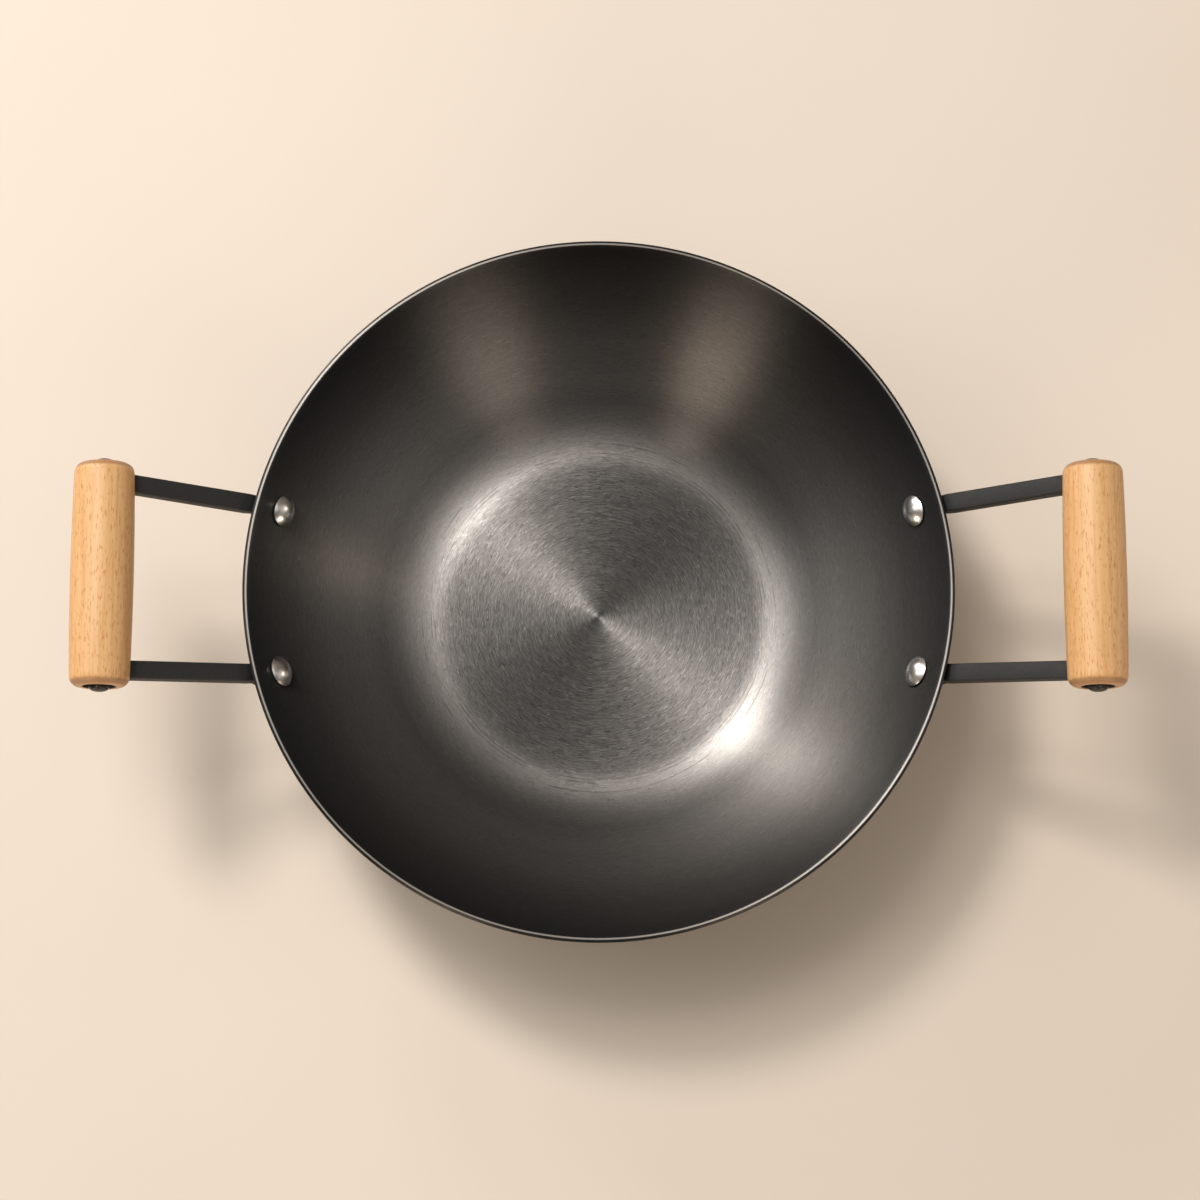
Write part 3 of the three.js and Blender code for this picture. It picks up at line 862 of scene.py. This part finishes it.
# %% [markdown]
# ## Grips
# Each grip is turned from beech: a slightly barrelled cylinder with rounded ends, bored along its axis,
# with a recess in each end that hides most of the nut. It is turned upright and then laid along Y.
# Two square slots let the arms in from the side, which stops the grip turning. A Boolean with two square
# bars cuts them, as a mortising chisel would.

# %% Turn a grip
GRIP_RADIUS = 13.95 * mm
GRIP_BARREL = 0.65 * mm
GRIP_ROUNDING = 4.5 * mm
ROD_RADIUS = 2.5 * mm
RECESS_RADIUS = 7.3 * mm
RECESS_EASE = 0.5 * mm
RECESS_EASE_STEPS = 3
WASHER_RADIUS = 6.3 * mm
GRIP_STEPS = 72
ROUND_STEPS = 8
BARREL_STEPS = 24

splay = abs(math.asin(run.y))
recess_floor = arm_y + BAR / 2 / math.cos(splay) + WASHER_RADIUS * math.tan(splay) + FIT
bore = ROD_RADIUS + FIT
half = GRIP_LENGTH / 2
shoulder = half - GRIP_ROUNDING
rounding_x = GRIP_RADIUS - GRIP_BARREL - GRIP_ROUNDING
barrel_radius = (shoulder ** 2 + GRIP_BARREL ** 2) / (2 * GRIP_BARREL)
barrel_turn = 2 * math.asin(shoulder / barrel_radius)

grip_bm = bmesh.new()
start = grip_bm.verts.new((bore, 0, -recess_floor))
tip = line_on(grip_bm, start, RECESS_RADIUS, -recess_floor)
tip = lower_lip = line_on(grip_bm, tip, RECESS_RADIUS, -half)
tip = line_on(grip_bm, tip, rounding_x, -half)
tip = arc_on(grip_bm, tip, (rounding_x, 0, -shoulder), math.pi / 2, ROUND_STEPS)
tip = arc_on(grip_bm, tip, (GRIP_RADIUS - barrel_radius, 0, 0), barrel_turn, BARREL_STEPS)
tip = arc_on(grip_bm, tip, (rounding_x, 0, shoulder), math.pi / 2, ROUND_STEPS)
tip = upper_lip = line_on(grip_bm, tip, RECESS_RADIUS, half)
tip = line_on(grip_bm, tip, RECESS_RADIUS, recess_floor)
tip = line_on(grip_bm, tip, bore, recess_floor)
grip_bm.edges.new((tip, start))
ease_corners(grip_bm, [lower_lip, upper_lip], RECESS_EASE, RECESS_EASE_STEPS)
spin_round(grip_bm, GRIP_STEPS)
lay_down = Matrix.Rotation(-math.pi / 2, 3, "X")
bmesh.ops.rotate(grip_bm, cent=(0, 0, 0), matrix=lay_down, verts=grip_bm.verts[:])
bmesh.ops.translate(grip_bm, vec=(eye.x, 0, eye.z), verts=grip_bm.verts[:])
print("grip:", len(grip_bm.faces), "faces before its slots")

# %% Cut the slots
SLOT_WIDTH = BAR + 2 * FIT
SLOT_REACH = ARM_PAST_ROD + FIT
SLOT_LENGTH = SLOT_REACH + 2 * GRIP_RADIUS

slot_middle = Vector((0, SLOT_REACH - SLOT_LENGTH / 2, 0))
slot_size = Vector((SLOT_WIDTH, SLOT_LENGTH, SLOT_WIDTH))
along_arm = frame_at(eye, run_across, run, run_normal) @ Matrix.LocRotScale(slot_middle, None, slot_size)
chisel_bm = bmesh.new()
for y_sign in (1, -1):
    bar = bmesh.ops.create_cube(chisel_bm, size=1, matrix=along_arm)["verts"]
    bmesh.ops.scale(chisel_bm, vec=(1, y_sign, 1), verts=bar)


def slotted_grip(side, finish):
    """Places a grip and cuts its two slots with a Boolean that is then applied."""
    name = f"{side}_grip_beech"
    end = f"{side}_rear"
    grip = place_piece(mirrored(grip_bm, end), name, f"{side}_grip", finish)
    chisel_mesh = bpy.data.meshes.new("slot_chisel")
    cutter = mirrored(chisel_bm, end)
    bmesh.ops.recalc_face_normals(cutter, faces=cutter.faces[:])
    cutter.to_mesh(chisel_mesh)
    cutter.free()
    chisel = bpy.data.objects.new("slot_chisel", chisel_mesh)
    scene.collection.objects.link(chisel)
    cut = grip.modifiers.new("slots", "BOOLEAN")
    cut.operation = "DIFFERENCE"
    cut.solver = "EXACT"
    cut.object = chisel
    done = bpy.data.meshes.new_from_object(grip.evaluated_get(bpy.context.evaluated_depsgraph_get()))
    grip.modifiers.clear()
    bpy.data.objects.remove(chisel)
    done.name = name
    done.set_sharp_from_angle(angle=CRISP)
    grip.data = done


print("slots are", round(SLOT_WIDTH / mm, 1), "mm square")

# %% [markdown]
# ## Beech: the figure
# Beech is an even, orange-tan wood. Its mark is the fleck: thousands of short dark dashes that lie along
# the grain. Growth layers pass level through the whole blank, so they show as long soft bands on the sides.
# Each of these is noise drawn out along Y, the length of the grip, by its own amount.

# %% Beech: layers, grain, streaks and flecks
WANDER_STRETCH = (30, 8, 30)
WANDER_DETAIL = 2.0
LAYERS_PER_METRE = 420.0
LAYER_WANDER = 5.0
LAYER_DETAIL = 2.0
GRAIN_STRETCH = (1500, 60, 1500)
GRAIN_DETAIL = 3.0
STREAK_STRETCH = (620, 16, 620)
STREAK_DETAIL = 2.0
FLECK_STRETCH = (1700, 280, 1700)
FLECK_DETAIL = 1.0
FLECK_REACH = (0.59, 0.67)


def drawn_out(stretch, detail):
    """Noise with its own scale along each axis."""
    where = add(tree, "Mapping", {"Vector": place, "Scale": stretch})
    return noise(tree, where, 1.0, detail)


beech, tree, shader, place = start_finish("varnished_beech")
across, _, above = add(tree, "SeparateXYZ", {0: place}).node.outputs
wander = calc(tree, "MULTIPLY", drawn_out(WANDER_STRETCH, WANDER_DETAIL), LAYER_WANDER)
layer_at = calc(tree, "ADD", calc(tree, "MULTIPLY", above, LAYERS_PER_METRE), wander)
layer_inputs = {"W": layer_at, "Scale": 1.0, "Detail": LAYER_DETAIL}
layers = add(tree, "TexNoise", layer_inputs, noise_dimensions="1D")
grain = drawn_out(GRAIN_STRETCH, GRAIN_DETAIL)
streaks = drawn_out(STREAK_STRETCH, STREAK_DETAIL)
flecks = remap(tree, drawn_out(FLECK_STRETCH, FLECK_DETAIL), FLECK_REACH)
print("beech:", len(tree.nodes), "nodes for the figure")

# %% [markdown]
# ## Beech: the colour
# The figure mixes near tans, one over the other. The rounded ends drink more oil and are darker, and
# painted shade makes the shoulder darkest. Each recess is painted nearly black as painted shade, told by
# its distance from the rod.

# %% Beech: colour along the grip
PALE_LAYER = (0.70, 0.413, 0.184, 1)
DEEP_LAYER = (0.648, 0.355, 0.143, 1)
PALE_GRAIN = (0.74, 0.480, 0.254, 1)
GRAIN_SHARE = (0.0, 0.5)
STREAK = (0.58, 0.285, 0.095, 1)
STREAK_REACH = (0.48, 0.68)
STREAK_SHARE = (0.0, 0.5)
FLECK = (0.49, 0.205, 0.05, 1)
FLECK_SHARE = 0.72

colour = mix_colour(tree, remap(tree, layers, NOISE_REACH), PALE_LAYER, DEEP_LAYER)
colour = mix_colour(tree, remap(tree, grain, NOISE_REACH, GRAIN_SHARE), colour, PALE_GRAIN)
colour = mix_colour(tree, remap(tree, streaks, STREAK_REACH, STREAK_SHARE), colour, STREAK)
colour = mix_colour(tree, calc(tree, "MULTIPLY", flecks, FLECK_SHARE), colour, FLECK)
print("beech: layers, grain, streaks and flecks are mixed")

# %% Beech: ends and recesses
OILED_END_AND_PAINTED_SHADE = (0.31, 0.15, 0.062, 1)
SHOULDER_REACH = (0.25, 0.60)
SHOULDER_SHARE = (0.0, 0.82)
END_REACH = (0.80, 0.97)
END_SHARE = (1.0, 0.6)
RECESS_PAINTED_SHADE = (0.03, 0.02, 0.013, 1)
PAINTED_SHADE_REACH = (RECESS_RADIUS + 0.05 * mm, RECESS_RADIUS + RECESS_EASE)

normal = add(tree, "NewGeometry", {}, output="Normal")
end_on = calc(tree, "ABSOLUTE", add(tree, "SeparateXYZ", {0: normal}, output="Y"))
# The shoulder band is painted shade; the lesser darkening of the end face is its oiled end grain.
shoulder_band = remap(tree, end_on, SHOULDER_REACH, SHOULDER_SHARE)
end_face = remap(tree, end_on, END_REACH, END_SHARE)
colour = mix_colour(tree, calc(tree, "MULTIPLY", shoulder_band, end_face), colour, OILED_END_AND_PAINTED_SHADE)
# Painted shade: the walls of each recess are painted nearly black by their distance from the rod.
beside_rod = calc(tree, "SUBTRACT", calc(tree, "ABSOLUTE", across), eye.x)
above_rod = calc(tree, "SUBTRACT", above, eye.z)
off_rod = add(tree, "CombineXYZ", {"X": beside_rod, "Z": above_rod})
from_rod = add(tree, "VectorMath", {0: off_rod}, output="Value", operation="LENGTH")
colour = mix_colour(tree, remap(tree, from_rod, PAINTED_SHADE_REACH, FALLING), colour, RECESS_PAINTED_SHADE)
print("beech: shade_painted within", round(PAINTED_SHADE_REACH[1] / mm, 1), "mm of the rod's axis")

# %% [markdown]
# ## Beech: the varnish
# A thin satin varnish lies over the wood as a weak coat. Under it the grain stands up a little, and the
# flecks sink in.

# %% Beech: varnish and relief
BEECH_ROUGHNESS = (0.44, 0.58)
FLECK_SINK = 0.5
BEECH_STRENGTH = 0.2
BEECH_DEPTH = 0.05 * mm
VARNISH_WEIGHT = 0.22
VARNISH_ROUGHNESS = 0.36

height = calc(tree, "SUBTRACT", grain, calc(tree, "MULTIPLY", flecks, FLECK_SINK))
join(tree, shader, {
    "Base Color": colour,
    "Roughness": remap(tree, grain, NOISE_REACH, BEECH_ROUGHNESS),
    "Normal": bump(tree, height, BEECH_STRENGTH, BEECH_DEPTH),
    "Coat Weight": VARNISH_WEIGHT,
    "Coat Roughness": VARNISH_ROUGHNESS,
})
for side in ("right", "left"):
    slotted_grip(side, beech)
grip_bm.free()
chisel_bm.free()

# %% [markdown]
# ## Blackened steel
# A tie rod runs through each grip and both arms, and a washer and a low cap nut at each end pull the stack
# together. All of it is steel blackened in a hot bath, which leaves it cloudy. The rod is out of sight, so
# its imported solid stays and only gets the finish.

# %% Blackened steel
BATH_DARK = (0.032, 0.030, 0.027, 1)
BATH_PALE = (0.078, 0.072, 0.064, 1)
BATH_SCALE = 700.0
BATH_DETAIL = 3.0
BATH_METAL = 0.85
BATH_ROUGHNESS = (0.32, 0.5)
BATH_STRENGTH = 0.2
BATH_DEPTH = 0.03 * mm

black_steel, tree, shader, place = start_finish("blackened_steel")
bath = noise(tree, place, BATH_SCALE, BATH_DETAIL)
join(tree, shader, {
    "Base Color": mix_colour(tree, bath, BATH_DARK, BATH_PALE),
    "Metallic": BATH_METAL,
    "Roughness": remap(tree, bath, NOISE_REACH, BATH_ROUGHNESS),
    "Normal": bump(tree, bath, BATH_STRENGTH, BATH_DEPTH),
})
for side in ("left", "right"):
    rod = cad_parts[f"{side}_tie_rod"]
    rod.data.materials.clear()
    rod.data.materials.append(black_steel)
print("rods are blackened")

# %% [markdown]
# ## Washers and cap nuts
# The washer is a thin rectangle with eased corners, spun once round. The nut starts as a six-sided ring
# whose top is drawn in to a circle and then closed over by rings that shrink like a dome. A second run of
# rings from the same start makes its blind hole.

# %% Turn a washer
WASHER_THICKNESS = 0.8 * mm
WASHER_EASE = 0.15 * mm
WASHER_EASE_STEPS = 2
WASHER_STEPS = 48

washer_start = recess_floor + FIT
washer_end = washer_start + WASHER_THICKNESS
washer_bm = bmesh.new()
start = washer_bm.verts.new((bore, 0, washer_start))
tip = line_on(washer_bm, start, WASHER_RADIUS, washer_start)
tip = line_on(washer_bm, tip, WASHER_RADIUS, washer_end)
tip = line_on(washer_bm, tip, bore, washer_end)
washer_bm.edges.new((tip, start))
ease_corners(washer_bm, washer_bm.verts[:], WASHER_EASE, WASHER_EASE_STEPS)
spin_round(washer_bm, WASHER_STEPS)
to_rod = Matrix.Translation((eye.x, 0, eye.z)) @ Matrix.Rotation(-math.pi / 2, 4, "X")
bmesh.ops.transform(washer_bm, matrix=to_rod, verts=washer_bm.verts[:])
place_at_ends(washer_bm, "washer", "turned", black_steel)
print("washers:", len(ENDS))

# %% Form a cap nut
NUT_SIDES = 6
NUT_FLATS = 9 * mm
NUT_HEX = 2.2 * mm
NUT_DOME = 1.5 * mm
NUT_CROWN = 1 * mm
NUT_CHAMFER = 0.45 * mm
NUT_EDGE_CUTS = 5
CROWN_STEPS = 7


def next_ring(bm, ring, height, radius=None):
    """Extrudes a ring of edges to a height, and to a circle where a radius is given."""
    made = bmesh.ops.extrude_edge_only(bm, edges=ring)["geom"]
    ring_verts = [g for g in made if isinstance(g, bmesh.types.BMVert)]
    for v in ring_verts:
        flat_out = Vector((v.co.x, v.co.y, 0))
        if radius is not None:
            flat_out = flat_out.normalized() * min(radius, flat_out.length)
        v.co = flat_out + Vector((0, 0, height))
    edges = [g for g in made if isinstance(g, bmesh.types.BMEdge)]
    return [e for e in edges if all(v in ring_verts for v in e.verts)]


nut_start = washer_end + FIT
nut_hole = NUT_HEX + NUT_DOME - NUT_CROWN
dome_radius = NUT_FLATS / 2 - FIT
nut_bm = bmesh.new()
bmesh.ops.create_circle(nut_bm, cap_ends=False, segments=NUT_SIDES, radius=NUT_FLATS / math.sqrt(3))
bmesh.ops.subdivide_edges(nut_bm, edges=nut_bm.edges[:], cuts=NUT_EDGE_CUTS)
hex_ring = nut_bm.edges[:]
ring = next_ring(nut_bm, hex_ring, NUT_HEX - NUT_CHAMFER)
ring = next_ring(nut_bm, ring, NUT_HEX, NUT_FLATS / 2)
for i in range(CROWN_STEPS):
    angle = math.pi / 2 * i / CROWN_STEPS
    ring = next_ring(nut_bm, ring, NUT_HEX + NUT_DOME * math.sin(angle), dome_radius * math.cos(angle))
bmesh.ops.contextual_create(nut_bm, geom=ring)
ring = next_ring(nut_bm, hex_ring, 0, bore)
ring = next_ring(nut_bm, ring, nut_hole, bore)
bmesh.ops.contextual_create(nut_bm, geom=ring)
bmesh.ops.translate(nut_bm, vec=(0, 0, nut_start), verts=nut_bm.verts[:])
bmesh.ops.transform(nut_bm, matrix=to_rod, verts=nut_bm.verts[:])
place_at_ends(nut_bm, "cap_nut", "domed", black_steel)
print("cap nuts:", len(ENDS))
